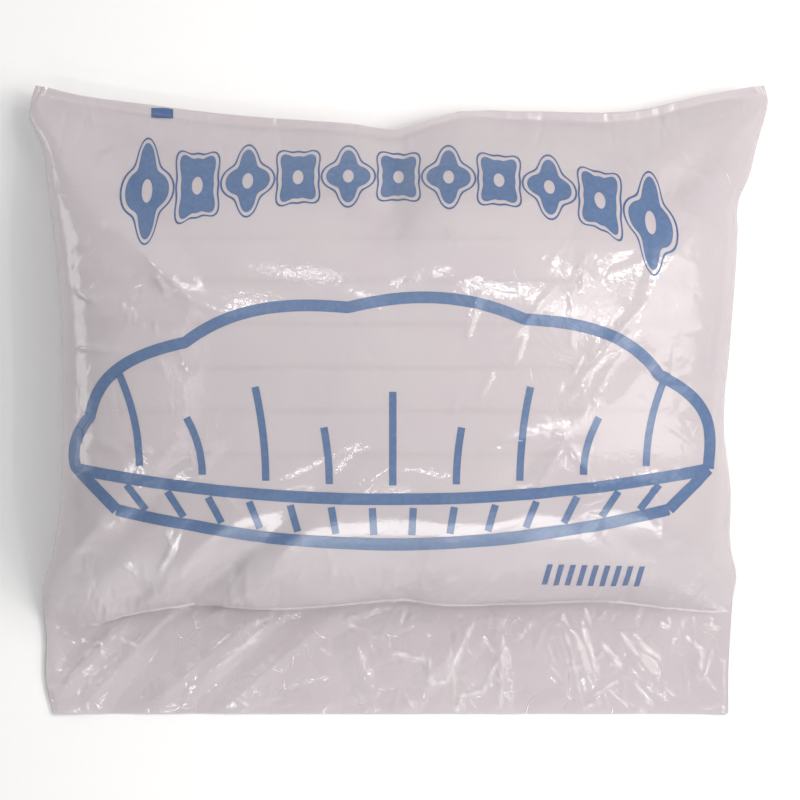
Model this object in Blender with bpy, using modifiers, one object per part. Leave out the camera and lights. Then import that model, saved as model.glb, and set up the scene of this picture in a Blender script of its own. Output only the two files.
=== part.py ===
"""A polythene bag filled with folded bouffant caps, lying on its back, printed side up.

Metres, +Z up. The bag lies on Z = 0 with its sealed end towards +Y and its mouth towards -Y.
The origin is the middle of the box round the bag, at the surface that it lies on.
The caps are folded to strips that run along X, piled in columns side by side along Y.
"""

import math
from typing import NamedTuple

import bmesh
import bpy
import numpy as np

# The bag's film
LAY_FLAT_WIDTH = 0.350
BAG_LENGTH = 0.298
PACK_HEIGHT = 0.084
FILM_WALL = 0.001
LAYER_GAP = 0.001

# How the filled bag lies
SHOULDER_LENGTH = 0.112
HEEL_LENGTH = 0.078
SKIRT_LENGTH = 0.048
SIDE_FOLD_HEIGHT = 0.034
SEAL_LIFT = 0.013
SEAL_SAG = 0.0205
SEAL_TO_FLOOR = 0.040

# The folded caps
CAP_STRIP_WIDTH = 0.0195
CAP_END_ROOM = 0.0143
COLUMN_GAP = 0.0006
SEAT_CLEARANCE = 0.0003
FILM_SLACK = 0.0016
LEAST_COLUMN_HEIGHT = 0.010
COLUMN_ROUNDING = 0.0020

# Fineness of the mesh, and of the search for room inside the bag
RINGS_OF_FILL = 32
RINGS_OF_SKIRT = 8
STEPS_ACROSS = 30
COLUMN_SECTIONS = 13
PROBE_STEP = 0.001

# Shape exponents: 2 is an ellipse or a parabola, and more is squarer
FRONT_FULLNESS = 2.5
BACK_FULLNESS = 5.0
SHOULDER_FULLNESS = 2.1
HEEL_FULLNESS = 2.4
BELLY_PRESS = 1.18


class SideFolds(NamedTuple):
    """Where the side folds lie at one place along the bag.

    down is the share of BAG_LENGTH from the sealed end, left and right are shares of half LAY_FLAT_WIDTH.
    """

    down: float
    left: float
    right: float


SIDE_FOLDS = (
    SideFolds(0.000, -0.981, 0.990),
    SideFolds(0.024, -0.994, 1.000),
    SideFolds(0.048, -1.000, 0.993),
    SideFolds(0.071, -0.986, 0.981),
    SideFolds(0.095, -0.969, 0.969),
    SideFolds(0.143, -0.953, 0.949),
    SideFolds(0.190, -0.943, 0.917),
    SideFolds(0.238, -0.929, 0.914),
    SideFolds(0.309, -0.914, 0.905),
    SideFolds(0.404, -0.904, 0.892),
    SideFolds(0.547, -0.900, 0.874),
    SideFolds(0.642, -0.908, 0.894),
    SideFolds(0.737, -0.934, 0.901),
    SideFolds(0.784, -0.957, 0.917),
    SideFolds(0.812, -0.966, 0.909),
    SideFolds(0.880, -0.957, 0.900),
    SideFolds(0.951, -0.958, 0.895),
    SideFolds(1.000, -0.939, 0.896),
)


class EndLines(NamedTuple):
    """The sealed edge and the crease at one place across the bag.

    across is a share of half the bag's width there, sag a share of SEAL_SAG by which the sealed edge lies
    lower than its corners, and skirt a share of SKIRT_LENGTH, from the mouth up to the crease.
    """

    across: float
    sag: float
    skirt: float


END_LINES = (
    EndLines(-1.00, 0.00, 0.90),
    EndLines(-0.86, 0.26, 0.88),
    EndLines(-0.70, 0.45, 1.00),
    EndLines(-0.54, 0.63, 1.06),
    EndLines(-0.37, 0.76, 1.02),
    EndLines(-0.13, 0.89, 1.06),
    EndLines(0.00, 1.00, 1.10),
    EndLines(0.06, 0.87, 1.10),
    EndLines(0.15, 0.67, 1.06),
    EndLines(0.36, 0.65, 1.07),
    EndLines(0.68, 0.58, 1.08),
    EndLines(0.81, 0.28, 1.03),
    EndLines(1.00, 0.00, 0.98),
)


class Fold(NamedTuple):
    """A soft furrow in the front film, or a ridge where depth is negative.

    across and down place its middle as shares of half LAY_FLAT_WIDTH and of BAG_LENGTH, from the bag's
    middle line and from its sealed end. turn is its direction in degrees anticlockwise from +X. long and
    wide are half its length and half its width as shares of BAG_LENGTH, and depth is a share of PACK_HEIGHT.
    """

    across: float
    down: float
    turn: float
    long: float
    wide: float
    depth: float


PACK_FOLDS = (
    Fold(0.00, 0.12, 84, 0.10, 0.030, 0.070),
    Fold(0.78, 0.14, 48, 0.10, 0.032, 0.060),
    Fold(-0.76, 0.15, -48, 0.12, 0.032, 0.055),
    Fold(-0.62, 0.30, -40, 0.09, 0.022, -0.022),
    Fold(0.60, 0.42, 62, 0.12, 0.030, -0.030),
    Fold(0.36, 0.56, 12, 0.08, 0.020, -0.022),
    Fold(0.33, 0.61, 52, 0.06, 0.020, 0.022),
    Fold(-0.58, 0.63, 20, 0.09, 0.022, -0.024),
    Fold(-0.74, 0.71, 45, 0.13, 0.026, 0.050),
    Fold(-0.58, 0.76, 42, 0.12, 0.024, -0.034),
    Fold(-0.40, 0.74, 40, 0.14, 0.026, 0.052),
    Fold(0.20, 0.76, 24, 0.12, 0.026, 0.040),
    Fold(0.66, 0.74, -28, 0.12, 0.026, 0.040),
)

SKIRT_FOLDS = (
    Fold(-0.83, 0.92, 52, 0.060, 0.016, -0.045),
    Fold(-0.47, 0.91, 42, 0.055, 0.015, -0.050),
    Fold(-0.10, 0.93, -68, 0.045, 0.014, -0.035),
    Fold(0.12, 0.92, 55, 0.050, 0.015, -0.055),
    Fold(0.28, 0.93, -84, 0.050, 0.013, -0.045),
    Fold(0.49, 0.91, -72, 0.050, 0.014, -0.045),
    Fold(0.66, 0.92, -50, 0.045, 0.015, -0.040),
    Fold(0.82, 0.91, 78, 0.050, 0.015, -0.045),
)


def eased(t):
    """0 to 1 with level ends."""
    t = np.clip(t, 0.0, 1.0)
    return t * t * (3 - 2 * t)


def tabled(rows, key, value, at):
    """The named column of a table at places between its rows, on a smooth curve through them."""
    keys = np.array([getattr(row, key) for row in rows])
    values = np.array([getattr(row, value) for row in rows])
    slopes = np.gradient(values, keys)
    at = np.clip(at, keys[0], keys[-1])
    i = np.clip(np.searchsorted(keys, at) - 1, 0, len(keys) - 2)
    span = keys[i + 1] - keys[i]
    t = (at - keys[i]) / span
    start = values[i] * (1 - eased(t)) + slopes[i] * span * t * (1 - t) ** 2
    end = values[i + 1] * eased(t) - slopes[i + 1] * span * t**2 * (1 - t)
    return start + end


def bulge(across, fullness):
    """Height of a stuffed cross-section at a share across it, 1 in the middle and 0 at both folds."""
    return np.maximum(0.0, 1 - np.abs(across) ** fullness) ** (1 / fullness)


def rise_from(distance, length, fullness):
    """A full, round end: 0 at no distance, 1 from the given length on."""
    return 1 - (1 - np.clip(distance / length, 0.0, 1.0)) ** fullness


def seal_y(across):
    """How far along Y the sealed edge lies."""
    return BAG_LENGTH / 2 - SEAL_SAG * tabled(END_LINES, "across", "sag", across)


def crease_y(across):
    """How far along Y the crease lies, where the fill ends and the empty skirt begins."""
    return SKIRT_LENGTH * tabled(END_LINES, "across", "skirt", across) - BAG_LENGTH / 2


def sides_x(y):
    """How far along X the two side folds lie."""
    down = 0.5 - y / BAG_LENGTH
    left = tabled(SIDE_FOLDS, "down", "left", down) * LAY_FLAT_WIDTH / 2
    right = tabled(SIDE_FOLDS, "down", "right", down) * LAY_FLAT_WIDTH / 2
    return left, right


def x_at(across, y):
    """The place along X of a share across the bag, from -1 at the left fold to 1 at the right fold."""
    left, right = sides_x(y)
    return left + (right - left) * (across + 1) / 2


def across_at(x, y):
    """The share across the bag of a place on the floor plan."""
    left, right = sides_x(y)
    return np.clip(2 * (x - left) / (right - left) - 1, -1.0, 1.0)


def fold_z(across, y):
    """Height of the side folds: low at the seal, high beside the fill, on the floor in the skirt."""
    rise = eased((seal_y(across) - y) / SHOULDER_LENGTH)
    fall = eased((y - crease_y(across)) / HEEL_LENGTH)
    return (SEAL_LIFT + (SIDE_FOLD_HEIGHT - SEAL_LIFT) * rise) * fall


def folds_depth(folds, across, y):
    """How far the front film is pressed in by the folds of a table, each a smooth oval dent."""
    x = x_at(across, y)
    total = 0.0
    for fold in folds:
        east = x - fold.across * LAY_FLAT_WIDTH / 2
        north = y - (0.5 - fold.down) * BAG_LENGTH
        turn = math.radians(fold.turn)
        along = (east * math.cos(turn) + north * math.sin(turn)) / (fold.long * BAG_LENGTH)
        beside = (north * math.cos(turn) - east * math.sin(turn)) / (fold.wide * BAG_LENGTH)
        total = total + fold.depth * PACK_HEIGHT * np.exp(-(along**2) - beside**2)
    return total


def front_z(across, y):
    """Height of the front film's outer face."""
    from_seal = seal_y(across) - y
    from_crease = y - crease_y(across)
    folded = fold_z(across, y) + 2 * FILM_WALL + LAYER_GAP
    shoulder = rise_from(from_seal, SHOULDER_LENGTH, SHOULDER_FULLNESS)
    heel = rise_from(from_crease, HEEL_LENGTH, HEEL_FULLNESS)
    sides = bulge(across, FRONT_FULLNESS)
    dents = folds_depth(PACK_FOLDS, across, y) * eased(2 * shoulder * heel * sides)
    ridges = folds_depth(SKIRT_FOLDS, across, y) * eased(-4 * from_crease / SKIRT_LENGTH) * sides
    return folded + (PACK_HEIGHT - folded) * shoulder * heel * sides - dents - ridges


def back_z(across, y):
    """Height of the back film's outer face, flat on the floor under the fill."""
    landing = eased((seal_y(across) - y) / SEAL_TO_FLOOR)
    press = BELLY_PRESS * landing * bulge(across, BACK_FULLNESS)
    return np.maximum(0.0, fold_z(across, y) * (1 - press))


def principled(name, colour, roughness, alpha=1.0):
    """A plain finish for one kind of piece."""
    material = bpy.data.materials.new(name)
    material.use_nodes = True
    shader = material.node_tree.nodes["Principled BSDF"]
    shader.inputs["Base Color"].default_value = (*colour, 1.0)
    shader.inputs["Roughness"].default_value = roughness
    shader.inputs["Metallic"].default_value = 0.0
    shader.inputs["Alpha"].default_value = alpha
    return material


def placed(name, builder, material, collection):
    """A named object made from a bmesh, shaded smooth apart from its sharp edges."""
    bmesh.ops.recalc_face_normals(builder, faces=builder.faces)
    mesh = bpy.data.meshes.new(name)
    builder.to_mesh(mesh)
    builder.free()
    mesh.shade_smooth()
    mesh.set_sharp_from_angle(angle=math.radians(50))
    mesh.materials.append(material)
    part = bpy.data.objects.new(name, mesh)
    collection.objects.link(part)
    return part


def loft(builder, loops):
    """Joins each closed loop of vertices to the next with a band of faces."""
    for first, second in zip(loops, loops[1:]):
        for i in range(len(first)):
            j = (i + 1) % len(first)
            builder.faces.new((first[i], first[j], second[j], second[i]))


def ring_of(builder, number):
    """One of the bag's outer cross-sections, as a closed loop of vertices.

    The rings are spread evenly from the sealed edge to the crease, and from the crease to the mouth.
    A ring runs along the front from left to right, and back along the back.
    """
    across = -np.cos(np.pi * np.arange(STEPS_ACROSS + 1) / STEPS_ACROSS)
    into_fill = min(number / RINGS_OF_FILL, 1.0)
    into_skirt = max((number - RINGS_OF_FILL) / RINGS_OF_SKIRT, 0.0)
    y = seal_y(across) + (crease_y(across) - seal_y(across)) * into_fill
    y = y + (-BAG_LENGTH / 2 - y) * into_skirt
    x = x_at(across, y)
    front = np.column_stack((x, y, front_z(across, y)))
    back = np.column_stack((x, y, back_z(across, y)))
    return [builder.verts.new(point) for point in np.vstack((front, back[::-1]))]


def make_film_bag(material, collection):
    """The bag: a lofted skin, closed at the sealed end and open at the mouth, given its wall inwards."""
    builder = bmesh.new()
    rings = [ring_of(builder, number) for number in range(RINGS_OF_FILL + RINGS_OF_SKIRT + 1)]
    loft(builder, rings)
    sealed = rings[0]
    for i in range(STEPS_ACROSS):
        facing = len(sealed) - 1 - i
        builder.faces.new((sealed[i], sealed[facing], sealed[facing - 1], sealed[i + 1]))
    bag = placed("film_bag", builder, material, collection)
    wall = bag.modifiers.new("wall", "SOLIDIFY")
    wall.thickness = FILM_WALL
    wall.offset = -1
    wall.use_even_offset = True
    wall.use_quality_normals = True
    return bag


def strip_ends():
    """Where the folded strips end along X, short of the side folds at the bag's middle."""
    left, right = sides_x(0.0)
    return left + CAP_END_ROOM, right - CAP_END_ROOM


def slope(height, x, y):
    """How much taller a sloping film's wall is, measured upright, than its thickness."""
    step = PROBE_STEP
    east = height(across_at(x + step, y), y) - height(across_at(x - step, y), y)
    north = height(across_at(x, y + step), y + step) - height(across_at(x, y - step), y - step)
    return np.sqrt(1 + (east**2 + north**2) / (2 * step) ** 2)


def room_at(x, y):
    """Lowest and highest place that a column may fill at points of the plan, inside the film."""
    across = across_at(x, y)
    floor = back_z(across, y) + (FILM_WALL + SEAT_CLEARANCE) * slope(back_z, x, y)
    ceiling = front_z(across, y) - (FILM_WALL + FILM_SLACK) * slope(front_z, x, y)
    return floor, ceiling


def room_round(x, y):
    """The room at a grid of points, kept clear of any furrow that runs between them and their neighbours."""
    steps = (-0.5, -0.25, 0.0, 0.25, 0.5)
    gap_x = np.gradient(x, axis=0)
    gap_y = np.gradient(y, axis=1)
    rooms = []
    for i in steps:
        for j in steps:
            near_x = np.clip(x + i * gap_x, x.min(), x.max())
            near_y = np.clip(y + j * gap_y, y.min(), y.max())
            rooms.append(room_at(near_x, near_y))
    floors, ceilings = zip(*rooms)
    return np.max(floors, axis=0), np.min(ceilings, axis=0)


def make_column(number, low_y, material, collection):
    """One column of folded caps: a bar that fills the bag's height at its place."""
    low_x, high_x = strip_ends()
    turn = np.pi * np.arange(COLUMN_SECTIONS) / (COLUMN_SECTIONS - 1)
    x = low_x + (high_x - low_x) * (1 - np.cos(turn)) / 2
    y = low_y + CAP_STRIP_WIDTH * np.array((0.0, 0.5, 1.0))
    floor, ceiling = room_round(*np.meshgrid(x, y, indexing="ij"))
    seat = floor.max(axis=1)

    builder = bmesh.new()
    loops = []
    for k in range(COLUMN_SECTIONS):
        foot = ((y[0], seat[k]), (y[2], seat[k]))
        top = ((y[2], ceiling[k, 2]), (y[1], ceiling[k, 1]), (y[0], ceiling[k, 0]))
        loops.append([builder.verts.new((x[k], *corner)) for corner in foot + top])
    loft(builder, loops)
    builder.faces.new(loops[0])
    builder.faces.new(loops[-1])
    column = placed(f"caps_column_{number:02d}", builder, material, collection)
    rounding = column.modifiers.new("rounding", "BEVEL")
    rounding.width = COLUMN_ROUNDING
    rounding.segments = 1
    rounding.limit_method = "ANGLE"
    rounding.angle_limit = math.radians(50)
    return column


def column_places():
    """The low Y edge of each column: as many as fit where the bag is high enough, centred there."""
    pitch = CAP_STRIP_WIDTH + COLUMN_GAP
    y = np.arange(-BAG_LENGTH / 2, BAG_LENGTH / 2, PROBE_STEP)
    low_x, high_x = strip_ends()
    x = np.array([[low_x], [(low_x + high_x) / 2], [high_x]])
    floor, ceiling = room_at(x, y[np.newaxis, :])
    roomy = y[(ceiling - floor).min(axis=0) > LEAST_COLUMN_HEIGHT]
    count = int((roomy[-1] - roomy[0]) / pitch)
    start = (roomy[0] + roomy[-1] - count * pitch) / 2
    return [start + k * pitch for k in range(count)]


def main():
    """Clears the scene and builds the bag and its columns of caps."""
    for old in list(bpy.data.objects):
        bpy.data.objects.remove(old)
    collection = bpy.data.collections.new("bag_of_bouffant_caps")
    bpy.context.scene.collection.children.link(collection)
    film = principled("milky polythene film", (0.72, 0.69, 0.69), 0.28, 0.85)
    nonwoven = principled("white polypropylene nonwoven", (0.84, 0.83, 0.83), 0.85)
    make_film_bag(film, collection)
    for number, low_y in enumerate(column_places(), start=1):
        make_column(number, low_y, nonwoven, collection)


main()
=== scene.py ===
"""The looks of a polythene bag filled with folded bouffant caps, lying on its back.

The bag is one tube of thin milky film. Its shape is worked out as arrays over a grid of places across the
bag and down it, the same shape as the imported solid's, with the finer folds and creases that film takes.
Its print is ink that the film carries: each printed place is looked up on the film's own grid.
The caps inside are pleated strips of nonwoven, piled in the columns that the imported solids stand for.
"""
import logging
import math
from dataclasses import dataclass, field
from enum import Enum

import bpy
import numpy as np
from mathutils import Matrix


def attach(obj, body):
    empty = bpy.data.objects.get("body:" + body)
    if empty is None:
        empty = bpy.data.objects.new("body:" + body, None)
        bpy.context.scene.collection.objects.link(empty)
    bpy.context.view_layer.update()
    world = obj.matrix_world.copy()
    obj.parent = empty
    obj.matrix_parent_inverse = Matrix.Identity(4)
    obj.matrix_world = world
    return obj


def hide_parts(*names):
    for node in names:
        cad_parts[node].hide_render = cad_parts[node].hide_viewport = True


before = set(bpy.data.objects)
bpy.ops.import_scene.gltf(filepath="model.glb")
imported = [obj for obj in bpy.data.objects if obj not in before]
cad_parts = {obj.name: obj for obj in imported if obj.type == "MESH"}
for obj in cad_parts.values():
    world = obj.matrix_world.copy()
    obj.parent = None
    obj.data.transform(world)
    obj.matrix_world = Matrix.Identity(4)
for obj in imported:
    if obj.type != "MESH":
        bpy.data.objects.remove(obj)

LOG = logging.getLogger("bag_of_caps")
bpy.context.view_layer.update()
MM = 0.001
Array = np.ndarray
Pair = tuple[Array, Array]
Socket = bpy.types.NodeSocket
Tree = bpy.types.NodeTree


def linear(hex_colour: str) -> tuple[float, float, float, float]:
    """Turns an sRGB colour to linear light, each channel by the sRGB curve.

    Args:
        hex_colour: six hex digits, red first.

    Returns:
        Red, green, blue and an alpha of 1.
    """
    channels = [int(hex_colour[i:i + 2], 16) / 255 for i in (0, 2, 4)]
    curve = [c / 12.92 if c <= 0.04045 else ((c + 0.055) / 1.055) ** 2.4 for c in channels]
    return (*curve, 1.0)


def eased(t: Array) -> Array:
    """0 to 1 with level ends: three t squared less two t cubed."""
    t = np.clip(t, 0.0, 1.0)
    return t * t * (3 - 2 * t)


def along_table(table: tuple[tuple[float, ...], ...], column: int, at: Array) -> Array:
    """Reads a table between its rows, on a cubic through the rows with the slopes of their neighbours.

    Args:
        table: rows whose first column rises.
        column: the column to read.
        at: the places to read it at, in the first column's terms.

    Returns:
        The column's values there.
    """
    rows = np.asarray(table, float)
    keys, values = rows[:, 0], rows[:, column]
    slopes = np.gradient(values, keys)
    at = np.clip(at, keys[0], keys[-1])
    i = np.clip(np.searchsorted(keys, at) - 1, 0, len(keys) - 2)
    span = keys[i + 1] - keys[i]
    t = (at - keys[i]) / span
    start = values[i] * (1 - eased(t)) + slopes[i] * span * t * (1 - t) ** 2
    end = values[i + 1] * eased(t) - slopes[i + 1] * span * t**2 * (1 - t)
    return start + end


@dataclass(frozen=True)
class PhotoFrame:
    """Where the photograph's pixels lie on the plan, seen from straight above."""

    middle_column: float = 398.5
    middle_row: float = 399.5
    metres_per_pixel: float = 0.350 / 741

    def plan(self, columns: Array, rows: Array) -> Pair:
        """The places along X and Y of pixels, with rows counted downwards."""
        x = (np.asarray(columns, float) - self.middle_column) * self.metres_per_pixel
        y = (self.middle_row - np.asarray(rows, float)) * self.metres_per_pixel
        return x, y


PHOTO = PhotoFrame()


@dataclass(frozen=True)
class Fold:
    """A soft oval furrow in the front film, or a ridge where depth is negative.

    across and down place its middle as shares of half the lay-flat width and of the length, turn is its
    direction in degrees anticlockwise from +X, long and wide are shares of the length, and depth of the height.
    """

    across: float
    down: float
    turn: float
    long: float
    wide: float
    depth: float


PACK_FOLDS = tuple(Fold(*row) for row in (
    (0.00, 0.12, 84, 0.10, 0.030, 0.070), (0.78, 0.14, 48, 0.10, 0.032, 0.060),
    (-0.76, 0.15, -48, 0.12, 0.032, 0.055), (-0.62, 0.30, -40, 0.09, 0.022, -0.022),
    (0.60, 0.42, 62, 0.12, 0.030, -0.030), (0.36, 0.56, 12, 0.08, 0.020, -0.022),
    (0.33, 0.61, 52, 0.06, 0.020, 0.022), (-0.58, 0.63, 20, 0.09, 0.022, -0.024),
    (-0.74, 0.71, 45, 0.13, 0.026, 0.050), (-0.58, 0.76, 42, 0.12, 0.024, -0.034),
    (-0.40, 0.74, 40, 0.14, 0.026, 0.052), (0.20, 0.76, 24, 0.12, 0.026, 0.040),
    (0.66, 0.74, -28, 0.12, 0.026, 0.040),
))
SKIRT_FOLDS = tuple(Fold(*row) for row in (
    (-0.83, 0.92, 52, 0.060, 0.016, -0.018), (-0.47, 0.91, 42, 0.055, 0.015, -0.020),
    (-0.10, 0.93, -68, 0.045, 0.014, -0.014), (0.12, 0.92, 55, 0.050, 0.015, -0.022),
    (0.28, 0.93, -84, 0.050, 0.013, -0.018), (0.49, 0.91, -72, 0.050, 0.014, -0.018),
    (0.66, 0.92, -50, 0.045, 0.015, -0.016), (0.82, 0.91, 78, 0.050, 0.015, -0.018),
))

# Place down the bag, then the left and the right side fold as shares of half the lay-flat width
SIDE_FOLDS = (
    (0.000, -0.981, 0.990), (0.024, -0.994, 1.000), (0.048, -1.000, 0.993), (0.071, -0.986, 0.981),
    (0.095, -0.969, 0.969), (0.143, -0.953, 0.949), (0.190, -0.943, 0.917), (0.238, -0.929, 0.914),
    (0.309, -0.914, 0.905), (0.404, -0.904, 0.892), (0.547, -0.900, 0.874), (0.642, -0.908, 0.894),
    (0.737, -0.934, 0.901), (0.784, -0.957, 0.917), (0.812, -0.966, 0.909), (0.880, -0.957, 0.900),
    (0.951, -0.958, 0.895), (1.000, -0.939, 0.896),
)
LEFT, RIGHT = 1, 2

# Place across the bag, then the sealed edge's sag and the skirt's length, as shares of their sizes
END_LINES = (
    (-1.00, 0.00, 0.90), (-0.86, 0.26, 0.88), (-0.70, 0.45, 1.00), (-0.54, 0.63, 1.06),
    (-0.37, 0.76, 1.02), (-0.13, 0.89, 1.06), (0.00, 1.00, 1.10), (0.06, 0.87, 1.10),
    (0.15, 0.67, 1.06), (0.36, 0.65, 1.07), (0.68, 0.58, 1.08), (0.81, 0.28, 1.03),
    (1.00, 0.00, 0.98),
)
SAG, SKIRT = 1, 2


@dataclass(frozen=True)
class BagShape:
    """The filled bag's sizes in metres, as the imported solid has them, and the surfaces that they give."""

    lay_flat: float = 0.350
    length: float = 0.298
    height: float = 0.084
    shoulder: float = 0.108
    heel: float = 0.078
    skirt: float = 0.048
    side_fold: float = 0.0355
    seal_lift: float = 0.0145
    seal_sag: float = 0.0205
    seal_to_floor: float = 0.040
    seal_band: float = 0.004
    skirt_lift: float = 0.0007
    half_gap: float = 0.0003
    front_fullness: float = 2.5
    back_fullness: float = 5.0
    shoulder_fullness: float = 2.1
    heel_fullness: float = 2.4
    belly_press: float = 1.18
    hair_onset: float = 40
    dent_onset: float = 2
    ridge_onset: float = 4

    def seal_y(self, across: Array) -> Array:
        """How far along Y the sealed edge lies."""
        return self.length / 2 - self.seal_sag * along_table(END_LINES, SAG, across)

    def crease_y(self, across: Array) -> Array:
        """How far along Y the crease lies, where the fill ends and the empty skirt begins."""
        return self.skirt * along_table(END_LINES, SKIRT, across) - self.length / 2

    def sides_x(self, y: Array) -> Pair:
        """How far along X the left and the right side fold lie."""
        down = 0.5 - y / self.length
        half = self.lay_flat / 2
        return along_table(SIDE_FOLDS, LEFT, down) * half, along_table(SIDE_FOLDS, RIGHT, down) * half

    def x_at(self, across: Array, y: Array) -> Array:
        """The place along X of a share across the bag, -1 at the left fold and 1 at the right."""
        left, right = self.sides_x(y)
        return left + (right - left) * (across + 1) / 2

    def across_at(self, x: Array, y: Array) -> Array:
        """The share across the bag of a place on the plan."""
        left, right = self.sides_x(y)
        return np.clip(2 * (x - left) / (right - left) - 1, -1.0, 1.0)

    def bulge(self, across: Array, fullness: float) -> Array:
        """A superellipse: 1 in the middle of the bag and 0 at both side folds."""
        return np.maximum(0.0, 1 - np.abs(across) ** fullness) ** (1 / fullness)

    def rise(self, distance: Array, length: float, fullness: float) -> Array:
        """A round end: one less a power of what is left of the length, from 0 to 1."""
        return 1 - (1 - np.clip(distance / length, 0.0, 1.0)) ** fullness

    def fold_z(self, across: Array, y: Array) -> Array:
        """Height of the side folds: low at the seal, high beside the fill, almost on the floor in the skirt."""
        up = eased((self.seal_y(across) - y) / self.shoulder)
        fall = eased((y - self.crease_y(across)) / self.heel)
        high = self.seal_lift + (self.side_fold - self.seal_lift) * up
        return self.skirt_lift + (high - self.skirt_lift) * fall

    def folds_depth(self, folds: tuple[Fold, ...], x: Array, y: Array) -> Array:
        """How far folds press the film in: the sum of bell curves, each long in its own direction."""
        total = np.zeros(np.broadcast(x, y).shape)
        for fold in folds:
            east = x - fold.across * self.lay_flat / 2
            north = y - (0.5 - fold.down) * self.length
            turn = math.radians(fold.turn)
            along = (east * math.cos(turn) + north * math.sin(turn)) / (fold.long * self.length)
            beside = (north * math.cos(turn) - east * math.sin(turn)) / (fold.wide * self.length)
            total += fold.depth * self.height * np.exp(-(along**2) - beside**2)
        return total

    def crown(self, across: Array, y: Array) -> Array:
        """How full the bag is: 0 at its edges and in the skirt, 1 on top."""
        shoulder = self.rise(self.seal_y(across) - self.seal_band - y, self.shoulder, self.shoulder_fullness)
        heel = self.rise(y - self.crease_y(across), self.heel, self.heel_fullness)
        return shoulder * heel * self.bulge(across, self.front_fullness)

    def hair(self, across: Array) -> Array:
        """Half the gap between two layers that lie together, closing at the side folds."""
        return self.half_gap * np.minimum(1.0, self.hair_onset * (1 - np.abs(across)))

    def front_z(self, across: Array, y: Array) -> Array:
        """Height of the front film: the side folds' height plus the crown, less the folds."""
        x = self.x_at(across, y)
        folded = self.fold_z(across, y) + self.hair(across)
        crown = self.crown(across, y)
        into_skirt = eased(self.ridge_onset * (self.crease_y(across) - y) / self.skirt)
        dents = self.folds_depth(PACK_FOLDS, x, y) * eased(self.dent_onset * crown)
        ridges = self.folds_depth(SKIRT_FOLDS, x, y) * into_skirt * self.bulge(across, self.front_fullness)
        return folded + (self.height - folded) * crown - dents - ridges

    def back_z(self, across: Array, y: Array) -> Array:
        """Height of the back film, pressed flat on the floor under the fill."""
        landing = eased((self.seal_y(across) - y) / self.seal_to_floor)
        press = self.belly_press * landing * self.bulge(across, self.back_fullness)
        return np.maximum(self.half_gap, self.fold_z(across, y) * (1 - press) - self.hair(across))

    def gap(self, across: Array, y: Array) -> Array:
        """How far the front film lies above the back film."""
        return self.front_z(across, y) - self.back_z(across, y)


class Crease(Enum):
    """How film stands at a sharp crease."""

    RIDGE = 1.0
    FURROW = -1.0


@dataclass(frozen=True)
class Stroke:
    """A sharp crease between two pixels of the photograph, with its height and half width in millimetres."""

    start: tuple[float, float]
    end: tuple[float, float]
    high: float
    wide: float
    kind: Crease = Crease.RIDGE

    def measure(self, x: Array, y: Array) -> Pair:
        """Projects places on the crease's line.

        Args:
            x: places along X.
            y: places along Y.

        Returns:
            The share of the crease's length that each place has passed, unclipped, and its distance beside it.
        """
        (start_x, end_x), (start_y, end_y) = PHOTO.plan(*zip(self.start, self.end))
        east, north = end_x - start_x, end_y - start_y
        length = math.hypot(east, north)
        along = ((x - start_x) * east + (y - start_y) * north) / length**2
        return along, ((y - start_y) * east - (x - start_x) * north) / length


@dataclass(frozen=True)
class CreaseProfile:
    """How a crease of unit height stands, in shares of its half width, and of its length for full and fade.

    One whose half width is below narrow is a roof, two flat faces with a rounded tip and foot. A wider one
    falls away on both sides as an exponential does. Both fade at their ends as a bell curve does.
    """

    narrow: float = 1.9 * MM
    roof_tip: float = 0.2
    roof_foot: float = 1.06
    foot_round: float = 0.1
    soft_tip: float = 0.25
    soft_fall: float = 0.6
    full: float = 0.32
    fade: float = 0.22

    def height(self, along: Array, beside: Array, wide: float) -> Array:
        """The crease's height at shares along it and distances beside it."""
        if wide < self.narrow:
            to_foot = self.roof_foot - np.hypot(beside / wide, self.roof_tip)
            profile = self.foot_round * np.log1p(np.exp(to_foot / self.foot_round))
        else:
            tip = self.soft_tip * wide
            profile = np.exp((tip - np.sqrt(beside**2 + tip**2)) / (self.soft_fall * wide))
        past = np.maximum(np.abs(along - 0.5) - self.full, 0.0) / self.fade
        return profile * np.exp(-(past**2))


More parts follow.
